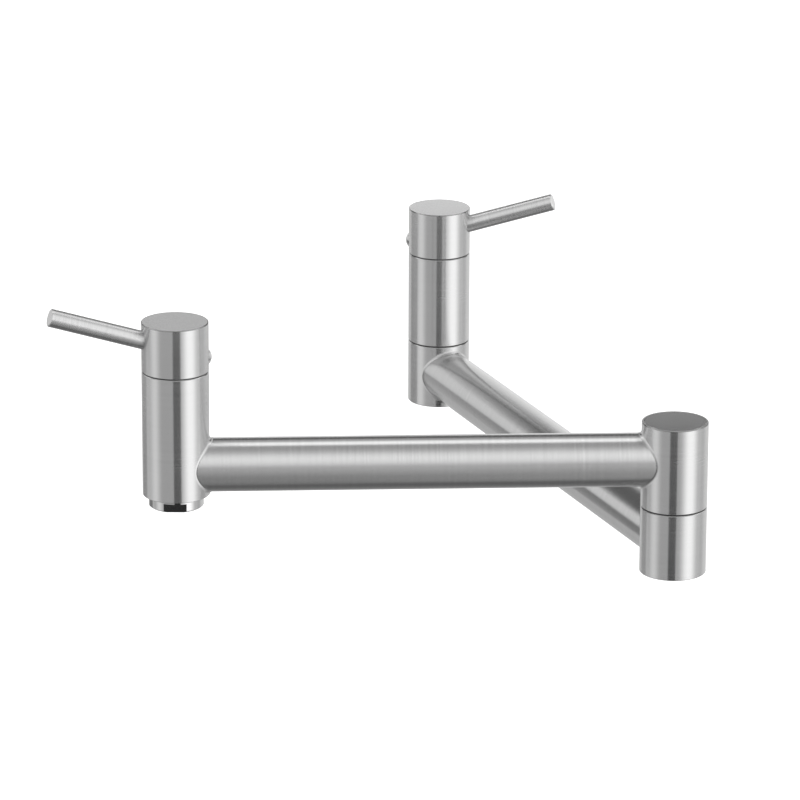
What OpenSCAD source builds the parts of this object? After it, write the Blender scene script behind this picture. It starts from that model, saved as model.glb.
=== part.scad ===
// Wall mounted pot filler with a folding arm and a valve at each end.
// Origin: centre of the inlet on the wall plane. X runs along the wall, -Y out into the room, Z up.
// Water path: inlet socket, wall valve, wall spindle, lower arm, elbow spindle, upper arm,
// outlet valve, seat tube, aerator.

/* [Columns] */
// Outside diameter of every column barrel
barrel_d = 35; // [33:0.5:42]
// Bevel on the edges of the barrels
edge_bevel = 0.3; // [0.1:0.1:0.8]
// Height of the seam under a valve handle
seam_gap = 0.6; // [0.3:0.1:1]
// Height of the seam between two swivelling barrels
swivel_gap = 0.7; // [0.4:0.1:1.2]
// Distance from the wall to the axis of the wall column
wall_gap = 48; // [44:1:80]
// Height of the wall valve's seat above the bottom of its body
wall_seat_h = 17.7; // [16:0.1:30]
// Height of the outlet valve's seat above the bottom of its body
outlet_seat_h = 33; // [29:0.1:50]
// Barrel above and below the arm tube on a swivel hub
hub_margin = 3.6; // [3:0.1:8]
// Elbow barrel below the upper arm tube
elbow_foot = 11; // [8:0.1:20]
// Elbow barrel above the upper arm tube
elbow_head = 6.4; // [5:0.1:16]
// Outlet barrel below the upper arm tube
outlet_foot = 1.3; // [1:0.1:8]

/* [Arms] */
// Outside diameter of both arm tubes
arm_d = 28.4; // [27:0.2:31]
// Wall thickness of both arm tubes
arm_wall = 1.5; // [1:0.1:3]
// Length of the lower arm between column axes
lower_reach = 320; // [300:5:420]
// Length of the upper arm between column axes
upper_reach = 260; // [180:5:265]
// Direction of the lower arm at rest, counted from +X
lower_bearing = -67.3; // [-150:0.1:-30]
// Direction of the upper arm at rest, counted from +X
upper_bearing = 183.2; // [140:0.1:220]

/* [Handles] */
// Height of both valve handles
handle_h = 26; // [24:0.1:40]
// Diameter of the lever pins
lever_d = 9.5; // [7:0.1:11]
// Length of a lever from the column axis to its tip
lever_reach = 68.7; // [45:0.1:90]
// Upward tilt of the levers
lever_tilt = 17.7; // [10:0.1:20]
// Depth below the handle's top at which a lever's axis crosses the column axis
lever_drop = 14.2; // [13:0.1:15]
// Direction of the wall valve's lever at rest, counted from +X
wall_lever_bearing = -9.5; // [-40:0.1:20]
// Direction of the outlet valve's lever at rest, counted from +X
outlet_lever_bearing = 194.4; // [170:0.1:220]
// Diameter of the domed plug over the set screw
plug_d = 9.5; // [7:0.1:10]
// How far the domed plug stands out of the handle
plug_proud = 1.8; // [0.6:0.1:2.4]
// Height of the set screw's axis above the bottom of the handle
screw_rise = 6.2; // [5:0.1:7]
// Diameter of the set screw that holds a handle to its stem
screw_d = 5; // [4:0.5:6]

/* [Wall fitting] */
// Wall thickness of the shank between the wall and the wall column
shank_wall = 1.5; // [1.2:0.1:3]
// Width of the wall escutcheon's rim round the shank
escutcheon_w = 4.3; // [3.5:0.1:15]
// Thickness of the wall escutcheon
escutcheon_t = 8; // [6:0.5:12]
// Bore of the half-inch pipe thread in the inlet socket
inlet_bore_d = 18.6; // [17:0.1:19.5]
// Depth of the inlet thread
inlet_thread_l = 15; // [12:0.5:18]
// Wall thickness of the inlet socket round its thread
socket_wall = 2.2; // [1.8:0.1:3]
// Thickness of the inlet socket's floor behind the strainer
socket_floor_t = 3.8; // [3:0.1:5]

/* [Swivels] */
// Barrel wall round the swivel spindles
hub_wall = 7.5; // [6.5:0.1:8.5]
// Wall thickness of the swivel spindles
spindle_wall = 4; // [3:0.1:5]
// Shoulder between a spindle and its upper thread
spindle_shoulder = 0.5; // [0.4:0.1:1]
// Length of the spindles' upper thread
spindle_thread_l = 12; // [8:0.5:14]
// Shoulder between a spindle and the thread that carries its nut
stub_shoulder = 3; // [2.5:0.1:4]
// Diameter of the cross ports in the spindles
spindle_port_d = 8; // [5:0.5:9]
// Thickness of the nuts under the spindles
spindle_nut_t = 2.6; // [2:0.1:3.5]
// Thickness of the threaded caps in the barrels
cap_t = 2.5; // [1.5:0.1:3]
// Section of the O-rings on the spindles
o_ring_t = 1.8; // [1.2:0.1:2]

/* [Valves] */
// Barrel wall round the threads of the cartridges and of the caps
thread_wall = 4.5; // [4:0.1:5]
// Width of the shoulder in a valve body that carries the cartridge
shoulder_w = 1; // [0.7:0.1:1.5]
// Depth of the shoulder that carries the cartridge below the body's top
shoulder_depth = 9.5; // [9:0.1:11]
// Depth of the valve seat below the body's top
seat_depth = 33.6; // [30:0.1:40]
// Diameter of the valve stem
stem_d = 8; // [6:0.1:9]
// Thickness of each ceramic disc
disc_t = 2; // [1.5:0.1:2.5]
// Width of the ledge under each seat seal
seat_ledge = 1.4; // [1:0.1:2]

/* [Aerator] */
// Shoulder of the aerator housing outside its thread
aerator_shoulder = 2.4; // [1.8:0.1:4]
// How far the aerator housing stands out below the outlet body
aerator_proud = 6.2; // [5:0.1:9]
// Depth of the aerator's two wrench flats
flat_depth = 1.3; // [0.8:0.1:1.8]
// Height of the wrench flats
flat_h = 4; // [3:0.1:4.6]
// Diameter of the aerator thread
aerator_thread_d = 24; // [23:0.1:25]
// Length of the aerator thread
aerator_thread_l = 4.5; // [3:0.1:4.8]
// Wall thickness of the aerator housing inside its thread
aerator_wall = 1.5; // [1.2:0.1:2]

/* [Hidden] */
$fn = 96;

// Clearances
over = 1;             // overrun of every cut
run_fit = 0.05;       // radial clearance of a shaft that turns in its bore
thread_gap = 0.03;    // radial clearance of a thread drawn plain
slip_gap = 0.03;      // radial clearance of a piece that is pressed or slid in
weld_gap = 0.02;      // clearance of a tube's saddle on its barrel
axial_play = 0.1;     // clearance between faces that slide on each other
face_play = 0.02;     // clearance between the two lapped ceramic discs
end_gap = 0.3;        // clearance past the end of a blind piece

// Sizes of the small pieces
glide_t = seam_gap - axial_play;
washer_t = swivel_gap - axial_play;
washer_inset = 0.45;  // how deep the seam rings lie inside the barrels
glide_w = 3.5;        // width of the ring under a handle
groove_play = 0.4;    // width of an O-ring groove beyond its ring
cap_rim = 1.25;       // barrel wall round the elbow's top cap
cap_bevel = 0.2;      // bevel on the top cap and its seat
cap_skin_t = 1.6;     // thickness of the elbow cap's disc
plug_l = 5;           // length of the elbow cap's thread
spanner_hole_d = 2.4;
spanner_hole_l = 1.2;
nut_slot_w = 3;
nut_slot_l = 1.6;
nut_slots = 4;
gallery_margin = 1;   // water gallery above and below a port
nut_clear = 0.5;      // clearance of a spindle nut in the cap's pocket
port_share = 0.55;    // water port as a share of the arm tubes' bore
port_clear = 1;       // wall valve's seat below its inlet port
sleeve_share = 0.79;  // cartridge sleeve as a share of the water chamber
bore_share = 0.74;    // bore of the sleeve as a share of the sleeve
cartridge_flange_t = 3.5;
cartridge_nut_drop = 0.6;
neck_share = 0.5;     // sleeve round the stem as a share of the cartridge thread
neck_drop = 1.2;
neck_gap = 0.3;
drum_depth = 14;      // depth of the stem's drum below the body's top
drum_wall = 2;
drum_roof = 2;
window_share = 0.5;   // windows as a share of the drum's open height
seal_t = 1.6;
seal_squeeze = 0.6;   // how far the seat seal stands out of the sleeve
seal_w = 2.4;
disc_rim = 1.7;       // disc outside its openings
disc_web_d = 3.6;     // solid middle of the discs
disc_port_half_angle = 40;
stem_socket = 13;     // depth of the stem's bore in the handle
stem_flat = 0.5;      // depth of the flat on the stem under the set screw
flat_margin = 0.7;    // flat below the set screw
stem_ring_depth = 10;
stem_ring_t = 1.2;
stem_wall = 2;        // metal between the stem and the lever's thread
lever_stub_d = 6;
lever_stub_l = 5;
lever_bevel = 0.4;
plug_seat = 3.5;      // depth of the plug's pocket in the handle
screw_room = 2.5;     // room between the set screw and the plug
screw_key_d = 2.9;
screw_key_l = 2.5;
seat_tube_wall = 1.5;
seat_tube_lip = 0.5;  // how far the seat tube's wall stands inside the ledge's bore
seat_tube_flange = 1.5;
seat_tube_flange_t = 1.6;
seat_tube_hex = 2.5;
seat_tube_hex_t = 2;
chamber_clear = 0.4;  // outlet chamber below its port
aerator_washer_t = 1.2;
aerator_washer_w = 2.5;
aerator_lip_t = 1.2;
aerator_lip_w = 0.7;
aerator_bevel = 0.6;
insert_top = 3.5;     // top of the aerator insert above the body's bottom
insert_rings = 3;
insert_hole_share = 0.7;
insert_rim = 0.45;
shank_wall_gap = 0.2; // clearance of the escutcheon on the shank
escutcheon_bevel = 1;
escutcheon_ring_t = 1.6;
strainer_seat = 0.5;  // step between the inlet thread and the strainer's seat
strainer_ledge = 1.8; // ledge that carries the strainer
strainer_t = 1.2;
strainer_hole_d = 1.8;
strainer_pitch = 2.8;
strainer_rings = 2;
flats_bearing = -90;  // direction that one wrench flat faces at rest

// Radii and heights worked out from the sizes above
barrel_r = barrel_d / 2;
cap_d = barrel_d - 2 * thread_wall;
cartridge_thread_d = cap_d;
gallery_d = cap_d;
chamber_d = cartridge_thread_d - 2 * shoulder_w;
port_d = (arm_d - 2 * arm_wall) * port_share;
wall_top = seat_depth - port_d / 2 - port_clear;
wall_bottom = wall_top - seat_depth - wall_seat_h;
hub_h = arm_d + 2 * hub_margin;
hub_top = wall_bottom - swivel_gap;
hub_bottom = hub_top - hub_h;
lower_arm_z = hub_bottom + hub_h / 2;
elbow_bottom = wall_bottom;
upper_arm_z = elbow_bottom + elbow_foot + arm_d / 2;
elbow_top = upper_arm_z + arm_d / 2 + elbow_head;
outlet_bottom = upper_arm_z - arm_d / 2 - outlet_foot;
outlet_top = outlet_bottom + outlet_seat_h + seat_depth;
wall_handle_z = wall_top + seam_gap;
outlet_handle_z = outlet_top + seam_gap;
spindle_d = barrel_d - 2 * hub_wall;
spindle_bore_d = spindle_d - 2 * spindle_wall;
spindle_thread_d = spindle_d - 2 * spindle_shoulder;
stub_d = spindle_d - 2 * stub_shoulder;
spindle_nut_d = cap_d - 2 * nut_clear;
land_d = spindle_d + 2 * run_fit;
gallery_h = port_d + 2 * gallery_margin;
cap_pocket_h = cap_t + end_gap + spindle_nut_t + axial_play;
shaft_end = hub_bottom + cap_pocket_h - axial_play;
upper_land_z = (hub_top + lower_arm_z + gallery_h / 2) / 2;
lower_land_z = (hub_bottom + cap_pocket_h + lower_arm_z - gallery_h / 2) / 2;
sleeve_d = chamber_d * sleeve_share;
sleeve_bore_d = sleeve_d * bore_share;
drum_d = sleeve_bore_d - 2 * run_fit;
disc_d = sleeve_bore_d - 4 * run_fit;
disc_port_d = disc_d - 2 * disc_rim;
seal_bore_d = disc_d - 2 * seal_w;
passage_d = disc_d - 2 * seat_ledge;
seat_tube_bore_d = passage_d - 2 * seat_tube_lip;
seat_tube_d = seat_tube_bore_d + 2 * seat_tube_wall;
stem_bore_d = stem_d + 2 * run_fit;
neck_d = cartridge_thread_d * neck_share;
moving_disc_depth = seat_depth - seal_t - 2 * disc_t;
window_h = moving_disc_depth - drum_depth - drum_roof;
window_d = window_h * window_share;
window_depth = moving_disc_depth - window_h / 2;
fixed_disc_depth = seat_depth - seal_t - disc_t;
sleeve_end_depth = seat_depth - seal_squeeze;
outlet_floor_z = upper_arm_z - port_d / 2 - chamber_clear;
aerator_seat_z = outlet_bottom + aerator_thread_l + aerator_washer_t;
aerator_d = aerator_thread_d + 2 * aerator_shoulder;
aerator_flats = aerator_d - 2 * flat_depth;
aerator_bore_d = aerator_thread_d - 2 * aerator_wall;
insert_pitch = (aerator_bore_d / 2 - insert_rim) / (insert_rings + insert_hole_share / 2);
insert_hole_d = insert_pitch * insert_hole_share;
lever_root = stem_d / 2 + stem_wall + lever_stub_l;
socket_d = inlet_bore_d + 2 * socket_wall;
socket_l = inlet_thread_l + strainer_t + socket_floor_t;
shank_bore_d = socket_d + 2 * slip_gap;
shank_d = shank_bore_d + 2 * shank_wall;
escutcheon_d = shank_d + 2 * escutcheon_w;
strainer_d = inlet_bore_d - 2 * strainer_seat;
socket_port_d = strainer_d - 2 * strainer_ledge;

// Places of the columns
module at_wall_column() { translate([0, -wall_gap, 0]) children(); }
module on_lower_arm() { at_wall_column() rotate(lower_bearing) children(); }
module at_elbow(bearing) {
    on_lower_arm() translate([lower_reach, 0, 0]) rotate(bearing - lower_bearing) children();
}
module on_upper_arm() { at_elbow(upper_bearing) children(); }
module at_outlet(bearing) {
    on_upper_arm() translate([upper_reach, 0, 0]) rotate(bearing - upper_bearing) children();
}
module at_wall_lever() { at_wall_column() rotate(wall_lever_bearing) children(); }
module along_shank() { rotate([-90, 0, 0]) children(); }

// Shapes that several pieces share, drawn round the Z axis
module rod(d, bottom, top) { translate([0, 0, bottom]) cylinder(d = d, h = top - bottom); }
module ring(outer_d, inner_d, bottom, top) {
    difference() {
        rod(outer_d, bottom, top);
        rod(inner_d, bottom - over, top + over);
    }
}
module bevelled(d, bevel, bottom, top) {
    r = d / 2;
    rotate_extrude() polygon([
        [0, bottom], [r - bevel, bottom], [r, bottom + bevel],
        [r, top - bevel], [r - bevel, top], [0, top]
    ]);
}
module barrel(bottom, top) { bevelled(barrel_d, edge_bevel, bottom, top); }
module sideways(bearing, z) { translate([0, 0, z]) rotate(bearing) rotate([0, 90, 0]) children(); }
module side_port(bearing, z) { sideways(bearing, z) rod(port_d, 0, barrel_r + over); }
module o_ring(inner_d, section, z) {
    translate([0, 0, z])
        rotate_extrude() translate([inner_d / 2 + section / 2, 0]) circle(d = section, $fn = 32);
}
module ring_groove(shaft_d, section, z) {
    half = section / 2 + groove_play / 2;
    ring(shaft_d + over, shaft_d - 2 * section, z - half, z + half);
}
module spanner_holes(radius, face, deep) {
    for (side = [0, 180]) {
        rotate(side) translate([radius, 0, 0]) rod(spanner_hole_d, min(face, deep), max(face, deep));
    }
}
// A hexagonal pattern of holes, counted in rings round the middle one
module hole_field(rings, pitch, d, bottom, top) {
    for (row = [-rings : rings])
        for (column = [-rings : rings])
            if (abs(row + column) <= rings)
                translate([pitch * (column + row / 2), pitch * row * sin(60), 0])
                    rod(d, bottom, top);
}

// Swivels. The spindle is screwed into the barrel above and hangs in the hub below.
module spindle_socket(bottom) {
    rod(spindle_thread_d + 2 * thread_gap, bottom - over, bottom + spindle_thread_l);
}
module swivel_spindle() {
    color("silver") difference() {
        union() {
            rod(spindle_thread_d, wall_bottom - over, wall_bottom + spindle_thread_l - end_gap);
            rod(spindle_d, shaft_end, wall_bottom);
            rod(stub_d, shaft_end - spindle_nut_t, shaft_end + over);
        }
        rod(spindle_bore_d, lower_arm_z - spindle_port_d / 2, wall_bottom + spindle_thread_l);
        for (bearing = [0, 90]) {
            sideways(bearing, lower_arm_z) rod(spindle_port_d, -spindle_d, spindle_d);
        }
        ring_groove(spindle_d, o_ring_t, upper_land_z);
        ring_groove(spindle_d, o_ring_t, lower_land_z);
    }
}
module spindle_o_rings() {
    color("dimgray") for (z = [upper_land_z, lower_land_z]) o_ring(spindle_d - 2 * o_ring_t, o_ring_t, z);
}
module spindle_nut() {
    bottom = shaft_end - spindle_nut_t;
    color("goldenrod") difference() {
        ring(spindle_nut_d, stub_d + 2 * thread_gap, bottom, shaft_end);
        for (slot = [0 : nut_slots - 1]) {
            rotate(slot * 360 / nut_slots)
                translate([spindle_nut_d / 2 - nut_slot_l, -nut_slot_w / 2, bottom - over])
                    cube([nut_slot_l + over, nut_slot_w, spindle_nut_t + 2 * over]);
        }
    }
}
module swivel_washer() {
    outer_d = barrel_d - 2 * washer_inset;
    inner_d = spindle_d + 2 * slip_gap;
    color("dimgray") ring(outer_d, inner_d, wall_bottom - washer_t, wall_bottom);
}
module swivel_hub(port_bearing) {
    color("silver") difference() {
        barrel(hub_bottom, hub_top);
        rod(land_d, hub_bottom - over, hub_top + over);
        rod(gallery_d, lower_arm_z - gallery_h / 2, lower_arm_z + gallery_h / 2);
        rod(cap_d + 2 * thread_gap, hub_bottom - over, hub_bottom + cap_pocket_h);
        side_port(port_bearing, lower_arm_z);
    }
}
module hub_cap() {
    color("silver") difference() {
        rod(cap_d, hub_bottom, hub_bottom + cap_t);
        spanner_holes(cap_d / 4, hub_bottom - over, hub_bottom + spanner_hole_l);
    }
}
// A tube from column axis to column axis along +X, with a saddle cut for each barrel
module arm_tube(reach, z) {
    color("silver") difference() {
        sideways(0, z) ring(arm_d, arm_d - 2 * arm_wall, 0, reach);
        for (x = [0, reach]) {
            translate([x, 0, 0]) rod(barrel_d + 2 * weld_gap, z - arm_d, z + arm_d);
        }
    }
}

// Valve cartridges. Depths are counted down from the top of the valve body.
module valve_chamber(top, floor) {
    rod(cartridge_thread_d + 2 * thread_gap, top - shoulder_depth, top + over);
    rod(chamber_d, floor, top);
}
module cartridge_sleeve(top) {
    color("goldenrod") difference() {
        union() {
            rod(cartridge_thread_d, top - shoulder_depth, top - shoulder_depth + cartridge_flange_t);
            rod(sleeve_d, top - sleeve_end_depth, top - shoulder_depth + cartridge_flange_t);
            rod(neck_d, top - shoulder_depth, top - neck_drop);
        }
        rod(stem_bore_d, top - seat_depth, top + over);
        rod(sleeve_bore_d, top - seat_depth, top - drum_depth + axial_play);
        for (bearing = [0, 90]) {
            sideways(bearing, top - window_depth) rod(window_d, -sleeve_d, sleeve_d);
        }
    }
}
module cartridge_nut(top) {
    seat = top - shoulder_depth + cartridge_flange_t;
    color("goldenrod") difference() {
        ring(cartridge_thread_d, neck_d + 2 * neck_gap, seat, top - cartridge_nut_drop);
        spanner_holes(
            (cartridge_thread_d + neck_d) / 4, top - cartridge_nut_drop + over,
            top - cartridge_nut_drop - spanner_hole_l
        );
    }
}
module disc_openings(bottom, top) {
    reach = disc_port_d;
    spread = reach * tan(disc_port_half_angle);
    translate([0, 0, bottom]) linear_extrude(top - bottom) difference() {
        intersection() {
            circle(d = disc_port_d);
            for (side = [0, 180]) {
                rotate(side) polygon([[0, 0], [reach, -spread], [reach, spread]]);
            }
        }
        circle(d = disc_web_d);
    }
}
module ceramic_disc(bottom, top, bearing) {
    color("white") difference() {
        rod(disc_d, bottom, top);
        rotate(bearing) disc_openings(bottom - over, top + over);
    }
}
module fixed_disc(top) {
    ceramic_disc(top - fixed_disc_depth - disc_t, top - fixed_disc_depth, 0);
}
module moving_disc(top) {
    ceramic_disc(top - fixed_disc_depth + face_play, top - moving_disc_depth, 90);
}
module seat_seal(top) {
    color("dimgray") ring(disc_d, seal_bore_d, top - seat_depth, top - seat_depth + seal_t);
}
module glide_ring(top) {
    outer_d = barrel_d - 2 * washer_inset;
    color("dimgray") ring(outer_d, outer_d - 2 * glide_w, top, top + glide_t);
}
// The stem's drum drives the moving disc and lets the water out through its windows
module valve_stem(top) {
    drum_bottom = top - moving_disc_depth;
    drum_top = top - drum_depth;
    stem_top = top + seam_gap + stem_socket - end_gap;
    flat_bottom = top + seam_gap + screw_rise - screw_d / 2 - flat_margin;
    color("goldenrod") difference() {
        union() {
            rod(drum_d, drum_bottom, drum_top);
            rod(stem_d, drum_top - over, stem_top);
        }
        rod(drum_d - 2 * drum_wall, drum_bottom - over, drum_top - drum_roof);
        for (bearing = [0, 90]) {
            sideways(bearing, top - window_depth) rod(window_d, -drum_d, drum_d);
        }
        ring_groove(stem_d, stem_ring_t, top - stem_ring_depth);
        translate([-stem_d, -stem_d, flat_bottom])
            cube([stem_d / 2 + stem_flat, 2 * stem_d, stem_socket]);
    }
}
module stem_o_ring(top) {
    color("dimgray") o_ring(stem_d - 2 * stem_ring_t, stem_ring_t, top - stem_ring_depth);
}

// Handles, drawn with the lever towards +X
module along_lever(bottom) {
    translate([0, 0, bottom + handle_h - lever_drop]) rotate([0, 90 - lever_tilt, 0]) children();
}
module toward_plug(bottom) { sideways(180, bottom + screw_rise) children(); }
module valve_handle(bottom) {
    color("silver") difference() {
        barrel(bottom, bottom + handle_h);
        rod(stem_d + 2 * slip_gap, bottom - over, bottom + stem_socket);
        along_lever(bottom) {
            rod(lever_d + 2 * slip_gap, lever_root, barrel_d);
            rod(lever_stub_d + 2 * thread_gap, lever_root - lever_stub_l - end_gap, barrel_d);
        }
        toward_plug(bottom) {
            rod(screw_d + 2 * thread_gap, 0, barrel_r);
            rod(plug_d + 2 * slip_gap, barrel_r - plug_seat, barrel_d);
        }
    }
}
module lever_pin(bottom) {
    color("silver") along_lever(bottom) {
        bevelled(lever_d, lever_bevel, lever_root, lever_reach);
        rod(lever_stub_d, lever_root - lever_stub_l, lever_root + over);
    }
}
// The plug's dome springs from the line where its rim meets the barrel's side
module handle_plug(bottom) {
    rim = sqrt(pow(barrel_r, 2) - pow(plug_d / 2, 2));
    rise = barrel_r + plug_proud - rim;
    dome_r = (pow(plug_d / 2, 2) + pow(rise, 2)) / (2 * rise);
    color("silver") toward_plug(bottom) rotate_extrude() union() {
        translate([0, barrel_r - plug_seat]) square([plug_d / 2, rim - barrel_r + plug_seat]);
        intersection() {
            translate([0, rim + rise - dome_r]) circle(r = dome_r);
            translate([0, rim]) square([plug_d / 2, rise]);
        }
    }
}
module set_screw(bottom) {
    tip = stem_d / 2 - stem_flat;
    screw_l = barrel_r - plug_seat - screw_room - tip;
    color("dimgray") toward_plug(bottom) difference() {
        rod(screw_d, tip, tip + screw_l);
        translate([0, 0, tip + screw_l - screw_key_l])
            cylinder(d = screw_key_d, h = screw_key_l + over, $fn = 6);
    }
}

// Wall fitting, drawn along the shank: height 0 is the wall plane
module wall_shank() {
    color("silver") difference() {
        along_shank() ring(shank_d, shank_bore_d, -wall_gap, 0);
        at_wall_column() rod(barrel_d + 2 * weld_gap, -shank_d, shank_d);
    }
}
module wall_escutcheon() {
    bore_d = shank_d + 2 * shank_wall_gap;
    groove_d = shank_d + 2 * escutcheon_ring_t + 2 * slip_gap;
    half = escutcheon_ring_t / 2 + groove_play / 2;
    color("silver") along_shank() difference() {
        bevelled(escutcheon_d, escutcheon_bevel, -escutcheon_t, escutcheon_bevel);
        rod(escutcheon_d + over, 0, escutcheon_bevel + over);
        rod(bore_d, -escutcheon_t - over, over);
        rod(groove_d, -escutcheon_t / 2 - half, -escutcheon_t / 2 + half);
    }
}
module inlet_socket() {
    color("goldenrod") along_shank() difference() {
        rod(socket_d, -socket_l, 0);
        rod(inlet_bore_d, -inlet_thread_l, over);
        rod(strainer_d + 2 * slip_gap, -inlet_thread_l - strainer_t, 0);
        rod(socket_port_d, -socket_l - over, 0);
    }
}
module inlet_strainer() {
    bottom = -inlet_thread_l - strainer_t;
    color("silver") along_shank() difference() {
        rod(strainer_d, bottom, -inlet_thread_l);
        hole_field(strainer_rings, strainer_pitch, strainer_hole_d, bottom - over, -inlet_thread_l + over);
    }
}

// Pieces of the wall column
module wall_body() {
    color("silver") at_wall_column() difference() {
        barrel(wall_bottom, wall_top);
        valve_chamber(wall_top, wall_top - seat_depth);
        rod(passage_d, wall_bottom, wall_top - seat_depth + over);
        spindle_socket(wall_bottom);
        side_port(90, 0);
    }
}

// Pieces of the elbow
module upper_elbow_hub() {
    color("silver") on_upper_arm() difference() {
        barrel(elbow_bottom, elbow_top);
        spindle_socket(elbow_bottom);
        rod(passage_d, elbow_bottom, upper_arm_z);
        rod(chamber_d, upper_arm_z - gallery_h / 2, elbow_top);
        rod(cap_d + 2 * thread_gap, elbow_top - cap_skin_t - plug_l - end_gap, elbow_top);
        rod(barrel_d - 2 * cap_rim, elbow_top - cap_skin_t, elbow_top + over);
        side_port(0, upper_arm_z);
    }
}
module elbow_top_cap() {
    skin_d = barrel_d - 2 * cap_rim - 2 * slip_gap;
    color("silver") on_upper_arm() {
        bevelled(skin_d, cap_bevel, elbow_top - cap_skin_t, elbow_top);
        rod(cap_d, elbow_top - cap_skin_t - plug_l, elbow_top - cap_skin_t + cap_bevel);
    }
}

// Pieces of the outlet column
module outlet_body() {
    color("silver") at_outlet(upper_bearing) difference() {
        barrel(outlet_bottom, outlet_top);
        valve_chamber(outlet_top, outlet_floor_z);
        rod(seat_tube_d + 2 * thread_gap, outlet_bottom, outlet_top);
        rod(aerator_thread_d + 2 * thread_gap, outlet_bottom - over, aerator_seat_z);
        side_port(180, upper_arm_z);
    }
}
module outlet_seat_tube() {
    seat = outlet_top - seat_depth;
    foot = aerator_seat_z;
    hex_d = seat_tube_d + 2 * seat_tube_hex;
    color("goldenrod") at_outlet(upper_bearing) difference() {
        union() {
            rod(seat_tube_d, foot, seat);
            rod(seat_tube_d + 2 * seat_tube_flange, seat - seat_tube_flange_t, seat);
            translate([0, 0, outlet_floor_z]) cylinder(d = hex_d, h = seat_tube_hex_t, $fn = 6);
        }
        rod(seat_tube_bore_d, foot - over, seat + over);
    }
}
module aerator_housing() {
    tip = outlet_bottom - aerator_proud;
    color("silver") at_outlet(0) difference() {
        union() {
            bevelled(aerator_d, aerator_bevel, tip, outlet_bottom);
            rod(aerator_thread_d, outlet_bottom - over, outlet_bottom + aerator_thread_l);
        }
        rod(aerator_bore_d, tip + aerator_lip_t, outlet_bottom + aerator_thread_l + over);
        rod(aerator_bore_d - 2 * aerator_lip_w, tip - over, tip + aerator_lip_t + over);
        for (side = [0, 180]) {
            sideways(flats_bearing + side, tip + flat_h / 2)
                translate([0, 0, aerator_flats / 2 + aerator_d / 2])
                    cube([flat_h + over, aerator_d, aerator_d], center = true);
        }
    }
}
module aerator_insert() {
    bottom = outlet_bottom - aerator_proud + aerator_lip_t;
    top = outlet_bottom + insert_top;
    color("gainsboro") at_outlet(0) difference() {
        rod(aerator_bore_d - 2 * slip_gap, bottom, top);
        hole_field(insert_rings, insert_pitch, insert_hole_d, bottom - over, top + over);
    }
}
module aerator_washer() {
    bottom = outlet_bottom + aerator_thread_l;
    outer_d = aerator_thread_d - 2 * slip_gap;
    bore_d = outer_d - 2 * aerator_washer_w;
    color("dimgray") at_outlet(0) ring(outer_d, bore_d, bottom, bottom + aerator_washer_t);
}
module escutcheon_o_ring() {
    color("dimgray") along_shank() o_ring(shank_d, escutcheon_ring_t, -escutcheon_t / 2);
}

// Wall swivel and wall valve, which stay with the wall
module wall_spindle() { at_wall_column() swivel_spindle(); }
module wall_spindle_o_rings() { at_wall_column() spindle_o_rings(); }
module wall_spindle_nut() { at_wall_column() spindle_nut(); }
module wall_swivel_washer() { at_wall_column() swivel_washer(); }
module wall_cartridge_sleeve() { at_wall_column() cartridge_sleeve(wall_top); }
module wall_cartridge_nut() { at_wall_column() cartridge_nut(wall_top); }
module wall_fixed_disc() { at_wall_column() fixed_disc(wall_top); }
module wall_seat_seal() { at_wall_column() seat_seal(wall_top); }
module wall_glide_ring() { at_wall_column() glide_ring(wall_top); }

// Wall valve's turning pieces
module wall_handle() { at_wall_lever() valve_handle(wall_handle_z); }
module wall_lever() { at_wall_lever() lever_pin(wall_handle_z); }
module wall_handle_plug() { at_wall_lever() handle_plug(wall_handle_z); }
module wall_set_screw() { at_wall_lever() set_screw(wall_handle_z); }
module wall_stem() { at_wall_lever() valve_stem(wall_top); }
module wall_moving_disc() { at_wall_column() moving_disc(wall_top); }
module wall_stem_o_ring() { at_wall_column() stem_o_ring(wall_top); }

// Lower arm
module wall_swivel_hub() { on_lower_arm() swivel_hub(0); }
module wall_hub_cap() { on_lower_arm() hub_cap(); }
module lower_arm_tube() { on_lower_arm() arm_tube(lower_reach, lower_arm_z); }
module lower_elbow_hub() { at_elbow(lower_bearing) swivel_hub(180); }
module elbow_hub_cap() { at_elbow(lower_bearing) hub_cap(); }

// Upper arm and what it carries
module elbow_spindle() { on_upper_arm() swivel_spindle(); }
module elbow_spindle_o_rings() { on_upper_arm() spindle_o_rings(); }
module elbow_spindle_nut() { on_upper_arm() spindle_nut(); }
module elbow_swivel_washer() { on_upper_arm() swivel_washer(); }
module upper_arm_tube() { on_upper_arm() arm_tube(upper_reach, upper_arm_z); }
module outlet_cartridge_sleeve() { at_outlet(upper_bearing) cartridge_sleeve(outlet_top); }
module outlet_cartridge_nut() { at_outlet(upper_bearing) cartridge_nut(outlet_top); }
module outlet_fixed_disc() { at_outlet(upper_bearing) fixed_disc(outlet_top); }
module outlet_seat_seal() { at_outlet(upper_bearing) seat_seal(outlet_top); }
module outlet_glide_ring() { at_outlet(upper_bearing) glide_ring(outlet_top); }

// Outlet valve's turning pieces
module outlet_handle() { at_outlet(outlet_lever_bearing) valve_handle(outlet_handle_z); }
module outlet_lever() { at_outlet(outlet_lever_bearing) lever_pin(outlet_handle_z); }
module outlet_handle_plug() { at_outlet(outlet_lever_bearing) handle_plug(outlet_handle_z); }
module outlet_set_screw() { at_outlet(outlet_lever_bearing) set_screw(outlet_handle_z); }
module outlet_stem() { at_outlet(outlet_lever_bearing) valve_stem(outlet_top); }
module outlet_moving_disc() { at_outlet(upper_bearing) moving_disc(outlet_top); }
module outlet_stem_o_ring() { at_outlet(upper_bearing) stem_o_ring(outlet_top); }

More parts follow.
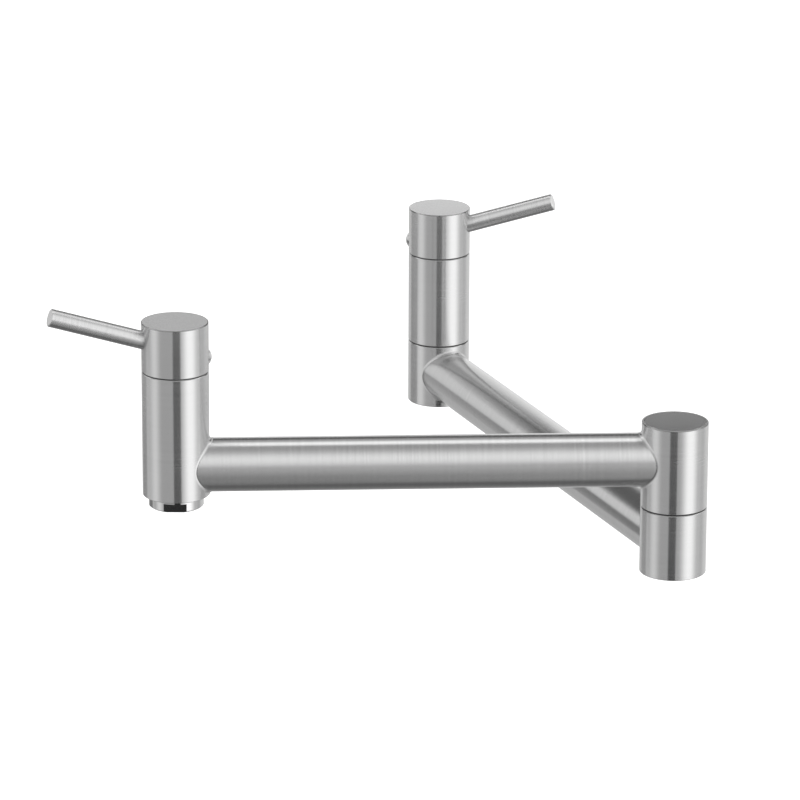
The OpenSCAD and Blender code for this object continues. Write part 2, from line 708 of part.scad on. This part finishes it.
wall_body();
wall_shank();
wall_escutcheon();
escutcheon_o_ring();
inlet_socket();
inlet_strainer();
wall_spindle();
wall_spindle_o_rings();
wall_spindle_nut();
wall_swivel_washer();
wall_cartridge_sleeve();
wall_cartridge_nut();
wall_fixed_disc();
wall_seat_seal();
wall_glide_ring();
wall_handle();
wall_lever();
wall_handle_plug();
wall_set_screw();
wall_stem();
wall_moving_disc();
wall_stem_o_ring();
wall_swivel_hub();
wall_hub_cap();
lower_arm_tube();
lower_elbow_hub();
elbow_hub_cap();
upper_elbow_hub();
elbow_top_cap();
elbow_spindle();
elbow_spindle_o_rings();
elbow_spindle_nut();
elbow_swivel_washer();
upper_arm_tube();
outlet_body();
outlet_seat_tube();
outlet_cartridge_sleeve();
outlet_cartridge_nut();
outlet_fixed_disc();
outlet_seat_seal();
outlet_glide_ring();
aerator_housing();
aerator_insert();
aerator_washer();
outlet_handle();
outlet_lever();
outlet_handle_plug();
outlet_set_screw();
outlet_stem();
outlet_moving_disc();
outlet_stem_o_ring();
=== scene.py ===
# %% [markdown]
# # A wall mounted pot filler in brushed stainless steel
# The real tap is three steel columns of one diameter, joined by two tubes. The
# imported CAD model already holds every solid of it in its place, in metres. So
# this lesson doesn't model the tap again. It gives each solid its finish, adds
# the smoothly ground welds, and builds the studio that the steel mirrors.
# Loading the frame comes first, since every later step asks it where things are.

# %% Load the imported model
import math
import bpy
from mathutils import Matrix, Vector


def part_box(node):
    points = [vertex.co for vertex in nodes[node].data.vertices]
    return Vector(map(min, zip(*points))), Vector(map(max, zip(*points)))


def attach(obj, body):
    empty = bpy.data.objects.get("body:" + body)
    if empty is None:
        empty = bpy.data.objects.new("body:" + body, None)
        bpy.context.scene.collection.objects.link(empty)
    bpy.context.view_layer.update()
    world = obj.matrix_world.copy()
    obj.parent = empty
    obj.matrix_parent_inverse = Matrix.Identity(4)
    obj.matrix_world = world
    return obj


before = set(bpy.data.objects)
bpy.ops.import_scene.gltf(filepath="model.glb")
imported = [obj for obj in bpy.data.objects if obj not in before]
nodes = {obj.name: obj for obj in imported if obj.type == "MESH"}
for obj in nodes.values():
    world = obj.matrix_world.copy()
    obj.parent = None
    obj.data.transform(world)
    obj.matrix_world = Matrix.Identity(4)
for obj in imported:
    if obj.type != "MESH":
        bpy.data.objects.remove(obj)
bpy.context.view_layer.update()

# %% [markdown]
# ## The camera
# The photograph was taken from far away with a long lens, a little above the
# tap. A camera can be placed by eye, or worked out from measured edges. Here it
# was worked out: the columns' edges and rims gave its place, its three angles
# and its lens. Roll is tiny, but without it the seams lean the wrong way.

# %% Set up the camera
CAMERA_PLACE = Vector((0.0, -3.049212, 0.894156))
CAMERA_YAW, CAMERA_PITCH, CAMERA_ROLL = (math.radians(a) for a in (-0.422, 17.693, 0.213))
LENS_MM, SENSOR_MM = 245.644, 36.0

ahead = Vector((
    math.sin(CAMERA_YAW) * math.cos(CAMERA_PITCH),
    math.cos(CAMERA_YAW) * math.cos(CAMERA_PITCH),
    -math.sin(CAMERA_PITCH),
))
level_right = Vector((math.cos(CAMERA_YAW), -math.sin(CAMERA_YAW), 0.0))
level_up = level_right.cross(ahead)
right = math.cos(CAMERA_ROLL) * level_right + math.sin(CAMERA_ROLL) * level_up
up = math.cos(CAMERA_ROLL) * level_up - math.sin(CAMERA_ROLL) * level_right

camera_data = bpy.data.cameras.new("camera")
camera_data.sensor_width = SENSOR_MM
camera_data.lens = LENS_MM
camera_data.clip_end = 200.0
camera = bpy.data.objects.new("camera", camera_data)
bpy.context.scene.collection.objects.link(camera)
camera.matrix_world = Matrix.Translation(CAMERA_PLACE) @ Matrix(
    (right, up, -ahead)
).transposed().to_4x4()
bpy.context.scene.camera = camera
print("camera", round(CAMERA_PLACE.length, 2), "m from the inlet")

# %% [markdown]
# ## Sums in place of wires
# A material is a web of small nodes. Placing and wiring each by hand is slow to
# write and hard to read. This class wraps one socket, so that a plain sum in
# Python adds the nodes for it. Colours and vectors don't go through the sums,
# because a Math node turns a colour grey.

# %% A socket that can be added and multiplied
class Wire:
    """A value on its way through a node tree; a sum on it adds a Math node."""

    def __init__(self, tree, socket=None):
        self.tree, self.socket = tree, socket

    def node(self, kind, settings=None, inputs=None, out=0):
        """Adds a node of any kind and returns one of its outputs."""
        made = self.tree.nodes.new(kind)
        for name, value in (settings or {}).items():
            if name == "stops":
                stops = made.color_ramp.elements
                first_and_last = {0: 0, 1: -1}  # a new ramp has these two stops
                for place, tone in value:
                    end = first_and_last.get(place)
                    stop = stops.new(place) if end is None else stops[end]
                    stop.color = (tone, tone, tone, 1.0)
            else:
                setattr(made, name, value)
        for name, value in (inputs or {}).items():
            if isinstance(value, Wire):
                self.tree.links.new(value.socket, made.inputs[name])
            else:
                made.inputs[name].default_value = value
        return Wire(self.tree, made.outputs[out] if made.outputs else None)

    def math(self, operation, *values):
        """Adds a Math node on these values."""
        inputs = dict(enumerate(values))
        return self.node("ShaderNodeMath", {"operation": operation}, inputs)

    def vector(self, operation, *values, out="Vector"):
        """Adds a Vector Math node on these vectors."""
        inputs = dict(enumerate(values))
        return self.node("ShaderNodeVectorMath", {"operation": operation}, inputs, out)

    def __add__(self, other):
        return self.math("ADD", self, other)

    def __sub__(self, other):
        return self.math("SUBTRACT", self, other)

    def __rsub__(self, other):
        return self.math("SUBTRACT", other, self)

    def __mul__(self, other):
        return self.math("MULTIPLY", self, other)

    __radd__ = __add__
    __rmul__ = __mul__

    def step(self, low, high):
        """0 below low, 1 above high and a smooth slope between."""
        settings = {"interpolation_type": "SMOOTHSTEP"}
        inputs = {"Value": self, "From Min": low, "From Max": high}
        return self.node("ShaderNodeMapRange", settings, inputs)

    def blend(self, other, share):
        """self where share is 0, other where share is 1."""
        inputs = {"Factor": share, 2: self, 3: other}  # 2 and 3 are A and B of a number
        return self.node("ShaderNodeMix", {"data_type": "FLOAT"}, inputs)

    def parts(self):
        """The three numbers of a vector."""
        split = self.node("ShaderNodeSeparateXYZ", None, {"Vector": self}).socket.node
        return [Wire(self.tree, out) for out in split.outputs]


print("the wire class is ready")

# %% [markdown]
# ## The studio
# Bare steel has no picture of its own: it shows the room. In the photograph all
# three columns carry the same upright stripes, so the room is far away and may
# be a world, not a set of near lamps. Each direction of the world gets its
# brightness from its compass bearing (0 towards the camera, positive to the
# right) and its height above the horizon. First come those angles, and a third
# one that runs from the camera's side (0) over the top (90) to the back (180).

# %% Angles of a world direction
world = bpy.data.worlds.new("studio")
bpy.context.scene.world = world
world.use_nodes = True
world.node_tree.nodes.clear()
room = Wire(world.node_tree)
east, north, rise = room.node("ShaderNodeTexCoord", out="Generated").parts()
to_camera = 0.0 - north
DEGREES = 180.0 / math.pi
bearing = room.math("ARCTAN2", east, to_camera) * DEGREES
height = room.math("ARCSINE", rise) * DEGREES
overhead = room.math("ARCTAN2", rise, to_camera) * DEGREES
print("bearing, height and overhead are in degrees")

# %% [markdown]
# The tubes lie across the view, so they show the room from the ground behind
# the camera, up over the ceiling and down behind the tap. That gives the room's
# brightness by height: dim near the ground, a wide soft peak at 30 degrees, a
# dim ceiling, and a pale backdrop behind the tap. A ramp holds such a curve in a
# few stops.

# %% Brightness by height
RAMP_TOP = 1.6  # the brightness that a ramp's white stands for
STRAIGHT_DOWN, HALF_TURN = -90.0, 180.0


def by_height(stops):
    """A curve from (degrees above the horizon, brightness) stops."""
    ramp = [((angle - STRAIGHT_DOWN) / HALF_TURN, value / RAMP_TOP) for angle, value in stops]
    share = (height - STRAIGHT_DOWN) * (1.0 / HALF_TURN)
    return room.node("ShaderNodeValToRGB", {"stops": ramp}, {"Fac": share}) * RAMP_TOP


in_front = by_height([
    (-90, 0.12), (-60, 0.20), (-40, 0.29), (-20, 0.46), (-4, 0.62), (9, 0.84),
    (22, 1.06), (34, 1.14), (47, 0.98), (60, 0.64), (74, 0.42), (90, 0.40),
])
behind = by_height([
    (-90, 0.13), (-58, 0.22), (-38, 0.46), (-26, 0.62), (-22, 0.62), (-10, 0.74),
    (2, 0.92), (20, 0.95), (40, 0.60), (52, 0.42), (90, 0.38),
])
front_share = to_camera.step(-0.35, 0.35)
brightness = behind.blend(in_front, front_share)
print("the room has a curve in front, a curve behind and a soft change between them")

# %% [markdown]
# The columns stand upright, so they show the room all round at one height, which
# lies just below the horizon because the camera looks down. Each stripe on them
# is a panel: a soft-edged window in bearing that makes the room brighter or
# darker. The panels fade out above the horizon, so that the flat tops don't turn
# white when they are seen from behind. Up there the room only slants from a
# darker left to a brighter right.

# %% Upright panels
PANELS = (  # (left edge, its softness, right edge, its softness, factor), in degrees
    (-85, 14, -58, 14, 2.1),
    (16, 8, 200, 10, 1.25),
    (34, 17, 76, 16, 2.9),
    (100, 6, 122, 8, 0.75),
)


def window(angle, start, start_soft, end, end_soft):
    """1 between two soft edges and 0 outside them."""
    rises = angle.step(start - start_soft, start + start_soft)
    return rises * (1.0 - angle.step(end - end_soft, end + end_soft))


LEFT_TONE, RIGHT_TONE = 0.84, 1.14
slant = bearing.step(-40.0, 40.0) * (RIGHT_TONE - LEFT_TONE) + LEFT_TONE
slant_share = height.step(0.0, 25.0) * front_share
brightness = brightness * ((slant - 1.0) * slant_share + 1.0)
PANEL_HEIGHTS = (-70.0, 12.0, 2.0, 18.0)
upright = window(height, *PANEL_HEIGHTS)
for *edges, factor in PANELS:
    brightness = brightness * (window(bearing, *edges) * upright * (factor - 1.0) + 1.0)
print(len(PANELS), "panels stand round the tap")

# %% [markdown]
# One long strip lamp hangs over the tap, just behind it. Every tube carries it
# as a thin bright line near its top. The camera itself sees plain white, which
# is the photograph's background, while the steel sees the room.

# %% Strip lamp and background
STRIP_EDGES, STRIP_TONE = (101, 3, 121, 7), 1.5
strip_length = 1.0 - room.math("ABSOLUTE", east).step(0.75, 0.9)
brightness = brightness.blend(STRIP_TONE, window(overhead, *STRIP_EDGES) * strip_length)
seen = room.node("ShaderNodeLightPath", out="Is Camera Ray")
background = room.node("ShaderNodeBackground", None, {
    "Color": (1, 1, 1, 1), "Strength": brightness.blend(1.0, seen),
})
room.node("ShaderNodeOutputWorld", None, {"Surface": background})
bpy.context.scene.view_settings.view_transform = "Standard"
print("the background is white to the camera")

# %% [markdown]
# ## Three dark cards
# The dark line in the middle of every column is a black card that stood between
# the camera and the tap. The grey line near the left edges is a card on the left,
# and the dark top edge of the arms is a card behind and above. All three shift
# from one part of the tap to the next, so they are near, and a world can't show
# that. So each card is a real sheet that only mirrors see. The front one and the
# back one change upwards, because the arms show no hard edge of them.

# %% A sheet, and the paint of a card
def sheet(name, corners):
    """A flat sheet of the studio."""
    mesh = bpy.data.meshes.new(name)
    mesh.from_pydata(corners, [], [(0, 1, 2, 3)])
    piece = bpy.data.objects.new(name, mesh)
    bpy.context.scene.collection.objects.link(piece)
    return piece


def card_paint(name, foot, top, low, high):
    """Light that goes from the foot's tone to the top's between two heights."""
    material = bpy.data.materials.new(name)
    material.use_nodes = True
    material.node_tree.nodes.clear()
    wire = Wire(material.node_tree)
    level = wire.node("ShaderNodeNewGeometry", out="Position").parts()[2]
    tone = level.step(low, high) * (top - foot) + foot
    glow = wire.node("ShaderNodeEmission", None, {"Color": tone, "Strength": 1.0})
    wire.node("ShaderNodeOutputMaterial", None, {"Surface": glow})
    material.cycles.emission_sampling = "NONE"
    return material


print("a card can be painted")

# %% Stand up the cards
def upright_sheet(start, end, low, high):
    """The corners of an upright sheet over a line on the ground."""
    return [(*start, low), (*end, low), (*end, high), (*start, high)]


CARDS = {  # name: (line on the ground, its heights), (tone at foot, tone at top, from, to)
    "front_card": (((-0.225, -1.39), (0.255, -1.39), -3.0, 0.25), (0.04, 0.75, 0.0, 0.25)),
    "left_card": (((-0.78, 0.60), (-0.78, -0.07), -0.50, -0.12), (0.27, 0.27, 0.0, 1.0)),
    "back_card": (((-0.75, 0.30), (0.75, 0.30), 0.205, 0.60), (0.26, 0.14, 0.205, 0.32)),
}
for name, (outline, tones) in CARDS.items():
    card = sheet(name, upright_sheet(*outline))
    card.visible_camera = card.visible_diffuse = card.visible_shadow = False
    card.data.materials.append(card_paint(name + "_paint", *tones))
print(list(CARDS))

# %% [markdown]
# ## The floor
# The tap hangs on a wall, and the photograph shows neither wall nor floor, only
# white. A plain pale floor well below it catches a faint shadow. Its own light
# towards the camera lifts it to white, and mirrors don't see it, so that the
# steel shows the room described above.

# %% Lay the floor
FLOOR_LEVEL, FLOOR_HALF = -0.45, 12.0
quarters = ((-1, -1), (1, -1), (1, 1), (-1, 1))
floor = sheet("floor", [(x * FLOOR_HALF, y * FLOOR_HALF, FLOOR_LEVEL) for x, y in quarters])
floor.visible_glossy = False
print("the floor lies at", FLOOR_LEVEL, "m")

# %% Paint the floor
floor_paint = bpy.data.materials.new("floor_paint")
floor_paint.use_nodes = True
floor_paint.node_tree.nodes.clear()
paint = Wire(floor_paint.node_tree)
FLOOR_TONE, FLOOR_GLOW = 0.85, 0.55
own_light = paint.node("ShaderNodeLightPath", out="Is Camera Ray") * FLOOR_GLOW
surface = paint.node("ShaderNodeBsdfPrincipled", None, {
    "Base Color": (FLOOR_TONE, FLOOR_TONE, FLOOR_TONE, 1), "Roughness": 0.9,
    "Specular IOR Level": 0.0, "Emission Color": own_light, "Emission Strength": 1.0,
})
paint.node("ShaderNodeOutputMaterial", None, {"Surface": surface})
floor.data.materials.append(floor_paint)
print("floor tone", FLOOR_TONE)

# %% [markdown]
# ## One way to start every finish
# Each finish is a Principled shader with a few numbers that are the same all
# over, and with a colour, a roughness and a fine relief that vary. These helpers
# do the part that all finishes share, so that each cell below only says what is
# special about its metal, rubber or plastic.

# %% Start and end a finish
def start_finish(name):
    """A new material, and the wire that builds its nodes."""
    material = bpy.data.materials.new(name)
    material.use_nodes = True
    material.node_tree.nodes.clear()
    return material, Wire(material.node_tree)


def grain(wire, place, scale, detail=2.0, roughness=0.5):
    """Noise from 0 to 1 at a place that is already stretched."""
    inputs = {"Vector": place, "Scale": scale, "Detail": detail, "Roughness": roughness}
    return wire.node("ShaderNodeTexNoise", None, inputs, "Fac")


def shade(wire, dark, light, share):
    """A colour between two colours."""
    first, second = [c if isinstance(c, Wire) else (*c, 1.0) for c in (dark, light)]
    inputs = {"Factor": share, 6: first, 7: second}  # 6 and 7 are A and B of a colour
    mixed = wire.node("ShaderNodeMix", {"data_type": "RGBA"}, inputs).socket.node
    return Wire(wire.tree, mixed.outputs["Result"])


def around(tone, spread, tint=(1.0, 1.0, 1.0)):
    """The darkest and the lightest colour of a tone that varies by this share."""
    return [[c * tone * k for c in tint] for k in (1.0 - spread, 1.0 + spread)]


def coat(wire, colour, roughness, relief, depth, facing=None, **fixed):
    """A Principled shader with this colour, roughness and relief of this depth."""
    bump = {"Height": relief, "Distance": depth, "Strength": 1.0, "Filter Width": 0.02}
    if facing:
        bump["Normal"] = facing
    normal = wire.node("ShaderNodeBump", None, bump)
    inputs = {"Base Color": colour, "Roughness": roughness, "Normal": normal}
    inputs.update({name.replace("_", " "): value for name, value in fixed.items()})
    return wire.node("ShaderNodeBsdfPrincipled", None, inputs)


def end_finish(wire, shader):
    """Makes this shader the surface."""
    wire.node("ShaderNodeOutputMaterial", None, {"Surface": shader})


print("finishes can be started")

# %% [markdown]
# ## Turned steel
# The columns are turned on a lathe and brushed while they spin, so the fine
# lines run round them, and round and round on their flat tops. Lines round a
# column stretch reflections along it and leave them crisp across it: this is
# anisotropy. On both the side and the top the lines follow one number, the
# height plus the distance from the axis, so one noise serves both. The flat tops
# are satin, without anisotropy. Their corner is rounded off and mirrors the dark
# ground as a thin line. That reflection is painted into the colour here as a
# darker rim, a painted reflection.

# %% The grain of turned parts
FINE_LINES, STREAKS = (30, 9000), (22, 1400)  # grains per metre along a line and across it
CLOUDS, DUST = 45.0, 1900.0  # grains per metre, the same every way


def stretched(wire, x, y, line, along, across):
    """A place that is stretched along the lines round an axis."""
    return wire.node("ShaderNodeCombineXYZ", None, {
        "X": x * along, "Y": y * along, "Z": line * across,
    })


print("fine lines are", round(1000.0 / FINE_LINES[1], 2), "mm apart")

# %% The painted dark reflection on the rim of a column's top
MM = 0.001
COLUMN_R = 17.5 * MM
# The rim's tone is a painted reflection: the dark ground that the rounded corner mirrors, painted
# into the colour.
PAINTED_RIM_REFLECTION_TONE, RIM_HEIGHT, RIM_WIDTH = 0.40, (0.50 * MM, 0.35 * MM), (0.70 * MM, 0.50 * MM)


def painted_rim_reflection_mask(z, radius, top_level):
    """1 on the outer corner of a column's top, where a dark reflection is painted, and 0 elsewhere.
    """
    high = z.step(*(top_level - drop for drop in RIM_HEIGHT))
    return high * radius.step(*(COLUMN_R - inset for inset in RIM_WIDTH))


print("the rim is", round(RIM_WIDTH[0] / MM, 2), "mm wide")

# %% A finish for turned parts
def turned(name, axis, tone, roughness, relief=4.0e-7, anisotropic=0.0, tint=(1.0, 1.0, 1.0),
           top=None):
    """Steel or brass with brushed lines round an upright axis at (x, y)."""
    material, wire = start_finish(name)
    place = wire.node("ShaderNodeTexCoord", out="Object")
    place = wire.vector("SUBTRACT", place, (axis[0], axis[1], 0.0))
    x, y, z = place.parts()
    radius = wire.vector("LENGTH", wire.vector("MULTIPLY", place, (1, 1, 0)), out="Value")
    line = z + radius
    fine = grain(wire, stretched(wire, x, y, line, *FINE_LINES), 1.0)
    streaks = grain(wire, stretched(wire, x, y, line, *STREAKS), 1.0, 3.0, 0.6)
    cloud = grain(wire, place, CLOUDS)
    mix = fine * 0.35 + streaks * 0.35 + cloud * 0.3
    colour = shade(wire, *around(tone, 0.05, tint), mix.step(0.25, 0.75))
    if top:
        # Painted reflection: the top's outer corner is darkened to the tone of the dark ground that
        # it mirrors.
        painted_rim_reflection = painted_rim_reflection_mask(z, radius, top["level"])
        colour = shade(wire, colour, [PAINTED_RIM_REFLECTION_TONE] * 3, painted_rim_reflection)
    rough = roughness + (streaks - 0.5) * 0.05 + (cloud - 0.5) * 0.05
    shader = coat(wire, colour, rough, fine * 0.7 + streaks * 0.3, relief,
                  Metallic=1.0, Anisotropic=anisotropic, Anisotropic_Rotation=0.25)
    if top:
        dust = grain(wire, place, DUST, 3.0, 0.7)
        pale = shade(wire, *around(top["tone"], 0.16), dust.step(0.2, 0.8))
        satin = coat(wire, pale, top["roughness"] + (dust - 0.5) * 0.08, dust, 2e-6, Metallic=1.0)
        upward = wire.node("ShaderNodeNewGeometry", out="Normal").parts()[2].step(0.85, 0.97)
        shares = {0: upward * (1.0 - painted_rim_reflection), 1: shader, 2: satin}
        shader = wire.node("ShaderNodeMixShader", None, shares)
    end_finish(wire, shader)
    return material


print("turned parts can be finished")

# %% Find the columns' axes
def middle(node):
    """A node's axis as the middle of its box, seen from above."""
    low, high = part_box(node)
    return ((low.x + high.x) / 2, (low.y + high.y) / 2)


AXES = {"wall": middle("wall_swivel_washer"), "elbow": middle("elbow_swivel_washer"),
        "outlet": middle("outlet_glide_ring")}
print({key: [round(v / MM, 2) for v in axis] for key, axis in AXES.items()})

# %% Finish the columns
STEEL = 0.62
TOPS = {  # the node that carries the top, the top's tone and its roughness
    "wall": ("wall_handle", 0.84, 0.38),
    "elbow": ("upper_elbow_hub", 0.56, 0.40),
    "outlet": ("outlet_handle", 0.80, 0.52),
}
columns = {}
for key, (node, tone, roughness) in TOPS.items():
    top = {"level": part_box(node)[1].z, "tone": tone, "roughness": roughness}
    columns[key] = turned(f"brushed_{key}_column", AXES[key], STEEL, 0.26, anisotropic=1.0, top=top)
print(len(columns), "columns are brushed")

# %% [markdown]
# ## Drawn steel
# The arms are welded tube and the levers are round bar. They are brushed too,
# with the lines round them, and the lines stretch reflections along the bar.
# Anisotropy follows an upright axis here, which is wrong for parts that lie down.
# A strong relief could do it, but it sparkles. So the shader is laid three times:
# once as it is, and once tilted to each end of the bar, as the two flanks of a
# brushed line are. A faint relief on top gives the lines themselves.

# %% The flanks of brushed lines
def tilted(wire, direction, tilt):
    """The surface's normal, tilted towards one end of the bar."""
    lean = tuple(tilt * v for v in direction)
    flank = wire.vector("ADD", wire.node("ShaderNodeTexCoord", out="Normal"), lean)
    turn = {"vector_type": "NORMAL", "convert_from": "OBJECT", "convert_to": "WORLD"}
    return wire.node("ShaderNodeVectorTransform", turn, {"Vector": flank})


def even_mix(wire, shaders):
    """A shader with an equal share of each of these."""
    mixed = shaders[0]
    for i, shader in enumerate(shaders[1:], start=2):
        mixed = wire.node("ShaderNodeMixShader", None, {0: 1.0 / i, 1: mixed, 2: shader})
    return mixed


print("a shader can be laid in flanks")

# %% A finish for tubes and bars
BAR_ALONG, BAR_LINES, BAR_STREAKS = 30.0, 9000, 1200  # grains per metre


def drawn(name, direction, tone, roughness, relief, spread):
    """Steel with brushed lines round a bar of this direction, spread along it."""
    material, wire = start_finish(name)
    place = wire.node("ShaderNodeTexCoord", out="Object")
    along = wire.vector("DOT_PRODUCT", place, direction, out="Value")
    slow = wire.vector("MULTIPLY", place, (BAR_ALONG, BAR_ALONG, BAR_ALONG))
    fine_place, streak_place = [
        wire.vector("ADD", wire.node("ShaderNodeCombineXYZ", None, {"X": along * rate}), slow)
        for rate in (BAR_LINES, BAR_STREAKS)
    ]
    fine = grain(wire, fine_place, 1.0)
    streaks = grain(wire, streak_place, 1.0, 3.0, 0.6)
    cloud = grain(wire, place, CLOUDS)
    mix = fine * 0.45 + streaks * 0.55
    colour = shade(wire, *around(tone, 0.07), mix.step(0.25, 0.75))
    rough = roughness + (streaks - 0.5) * 0.04 + (cloud - 0.5) * 0.02
    end_finish(wire, even_mix(wire, [
        coat(wire, colour, rough, fine, relief, tilted(wire, direction, tilt), Metallic=1.0)
        for tilt in (-spread, 0.0, spread)
    ]))
    return material


print("tubes and bars can be finished")

# %% Finish the arms and levers
def heading(turn_deg, tilt_deg=0.0):
    """A direction from its turn (from +X, turning left) and its tilt."""
    b, t = math.radians(turn_deg), math.radians(tilt_deg)
    return (math.cos(b) * math.cos(t), math.sin(b) * math.cos(t), math.sin(t))


LEVER_TILT = 17.7
LOWER_ARM, UPPER_ARM = heading(-67.3), heading(183.2)
WALL_LEVER, OUTLET_LEVER = heading(-9.5, LEVER_TILT), heading(194.4, LEVER_TILT)
BARS = {  # node: (finish, direction, tone, roughness, relief, spread)
    "lower_arm_tube": ("brushed_lower_arm", LOWER_ARM, 0.55, 0.15, 3.0e-6, 0.05),
    "upper_arm_tube": ("brushed_upper_arm", UPPER_ARM, STEEL, 0.20, 3.0e-6, 0.22),
    "wall_lever": ("brushed_wall_lever", WALL_LEVER, 0.68, 0.22, 5.0e-7, 0.20),
    "outlet_lever": ("brushed_outlet_lever", OUTLET_LEVER, STEEL, 0.22, 5.0e-7, 0.20),
}
bars = {node: drawn(*row) for node, row in BARS.items()}
print(len(bars), "tubes and bars are brushed")

# %% [markdown]
# ## Polished steel, brass, rubber, ceramic and plastic
# The aerator and the small domes are polished. Inside sit turned brass, ground
# ceramic, rubber rings and moulded plastic. They show in the gaps and in the
# separate parts, so each gets its own grain at its own scale.

# %% Finishes of the small parts
def moulded(name, dark, light, roughness, scale, depth, **fixed):
    """A finish with an even grain, such as rubber, ceramic or plastic."""
    material, wire = start_finish(name)
    place = wire.node("ShaderNodeTexCoord", out="Object")
    fine = grain(wire, place, scale, 4.0, 0.6)
    cloud = grain(wire, place, scale * 0.03, 3.0)
    colour = shade(wire, dark, light, (fine * 0.5 + cloud * 0.5).step(0.3, 0.7))
    rough = roughness + (cloud - 0.5) * 0.15 + (fine - 0.5) * 0.08
    end_finish(wire, coat(wire, colour, rough, fine, depth, **fixed))
    return material


def grey(tone):
    """A colour without hue."""
    return (tone, tone, tone)


SMALL = {  # finish: (dark, light, roughness, grains per metre, relief)
    "rubber": (grey(0.010), grey(0.022), 0.55, 9000.0, 1.5e-6),
    "ceramic": ((0.74, 0.73, 0.70), (0.84, 0.83, 0.80), 0.22, 12000.0, 4e-7),
    "bearing_plastic": (grey(0.020), grey(0.035), 0.40, 5000.0, 1e-6),
    "white_plastic": ((0.70, 0.70, 0.68), (0.80, 0.80, 0.78), 0.38, 5000.0, 1e-6),
}
small = {name: moulded(name, *row) for name, row in SMALL.items()}
BLACK_STEEL = (grey(0.05), grey(0.09), 0.42, 7000.0, 1.5e-6)
small["black_steel"] = moulded("black_steel", *BLACK_STEEL, Metallic=1.0)
print(sorted(small))

# %% Finish the polished and the brass parts
BRASS_TINT = (1.0, 0.78, 0.46)
polished, brass = {}, {}
for key, axis in AXES.items():
    polished[key] = turned(f"polished_{key}", axis, 0.60, 0.06, 1.0e-7)
    brass[key] = turned(f"turned_brass_{key}", axis, 0.80, 0.26, 1.2e-6, tint=BRASS_TINT)
elbow_cap = turned("fine_elbow_cap", AXES["elbow"], 0.42, 0.18, 1.0e-6)
print(len(polished) + len(brass) + 1, "finishes for polished steel, brass and the cap")

# %% Give every solid its finish
def column_of(name):
    """The column that a node belongs to."""
    if "elbow" in name:
        return "elbow"
    return "outlet" if name.startswith(("outlet", "aerator")) else "wall"


def finish_of(name, slot_name):
    """The finish of a node, from its own name or from its slot in the record."""
    if name in bars:
        return bars[name]
    if name == "elbow_top_cap":
        return elbow_cap
    by_column = {"brushed_steel": columns, "polished_steel": polished, "brass": brass}
    if slot_name in by_column:
        return by_column[slot_name][column_of(name)]
    return small[slot_name]


for name, solid in nodes.items():
    slot_name = solid.material_slots[0].material.name.split(".")[0]
    for place in solid.material_slots:
        place.material = finish_of(name, slot_name)
print("finishes on", len(nodes), "solids")

# %% [markdown]
# ## Ground welds
# Each tube is cut to a saddle and welded to its column, and the weld is ground
# to a small even fillet. The CAD solids meet in a sharp corner, so the fillet
# is made here as the track of a ball that rolls in that corner and touches both
# round surfaces. Its two edges are tangent to the steel, so light runs over it
# without a break.

# %% Roll a ball along the saddle
TUBE_R, BALL_R, WELD_DEPTH = 14.2 * MM, 1.8 * MM, 0.5 * MM
WELD_STEPS, ARC_STEPS = 160, 10


def weld_ring(turn):
    """The points across the fillet at one turn round the tube."""
    across, high = (TUBE_R + BALL_R) * math.sin(turn), (TUBE_R + BALL_R) * math.cos(turn)
    centre = Vector((math.sqrt((COLUMN_R + BALL_R) ** 2 - across ** 2), across, high))
    to_tube = Vector((0.0, -math.sin(turn), -math.cos(turn)))
    to_column = Vector((-centre.x, -centre.y, 0.0)).normalized()
    arc = [centre + BALL_R * to_tube.slerp(to_column, i / ARC_STEPS) for i in range(ARC_STEPS + 1)]
    corner_y, corner_z = TUBE_R * math.sin(turn), TUBE_R * math.cos(turn)
    corner = Vector((math.sqrt(COLUMN_R ** 2 - corner_y ** 2), corner_y, corner_z))
    inward = (to_tube + to_column).normalized()
    return arc + [corner + inward * WELD_DEPTH]


print("a fillet is", len(weld_ring(0.0)), "points wide")

# %% Close the rings to a weld
def weld(name, axis, level, direction, body, finish):
    """A closed fillet round the tube that leaves a column in this direction."""
    rings = [weld_ring(math.tau * i / WELD_STEPS) for i in range(WELD_STEPS)]
    turn_to = Matrix.Rotation(math.atan2(direction[1], direction[0]), 4, "Z")
    place = Matrix.Translation((axis[0], axis[1], level)) @ turn_to
    points = [place @ p for ring in rings for p in ring]
    n = len(rings[0])
    corners = ((0, 0), (0, 1), (1, 1), (1, 0))
    faces = [
        [(i + di) % WELD_STEPS * n + (j + dj) % n for di, dj in corners]
        for i in range(WELD_STEPS) for j in range(n)
    ]
    mesh = bpy.data.meshes.new(name)
    mesh.from_pydata(points, [], faces)
    mesh.polygons.foreach_set("use_smooth", [True] * len(faces))
    mesh.materials.append(finish)
    piece = bpy.data.objects.new(name, mesh)
    bpy.context.scene.collection.objects.link(piece)
    for edge in mesh.edges:
        first, second = (v % n for v in edge.vertices)
        edge.use_edge_sharp = first == second and first in (0, n - 2, n - 1)
    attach(piece, body)
    return piece


print("a weld has", WELD_STEPS, "steps")

# %% Weld the arms
def tube_level(node):
    """The height of a lying tube's axis."""
    low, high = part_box(node)
    return (low.z + high.z) / 2


def back(direction):
    """The opposite direction."""
    return tuple(-v for v in direction)


lower, upper = tube_level("lower_arm_tube"), tube_level("upper_arm_tube")
WELDS = (  # (name, axis, height, direction, body, finish)
    ("weld_wall_hub", AXES["wall"], lower, LOWER_ARM, "lower_arm", columns["wall"]),
    ("weld_lower_elbow", AXES["elbow"], lower, back(LOWER_ARM), "lower_arm", columns["elbow"]),
    ("weld_upper_elbow", AXES["elbow"], upper, UPPER_ARM, "upper_arm", columns["elbow"]),
    ("weld_outlet", AXES["outlet"], upper, back(UPPER_ARM), "upper_arm", columns["outlet"]),
)
for row in WELDS:
    weld(*row)
print(len(WELDS), "welds join the arms to the columns")
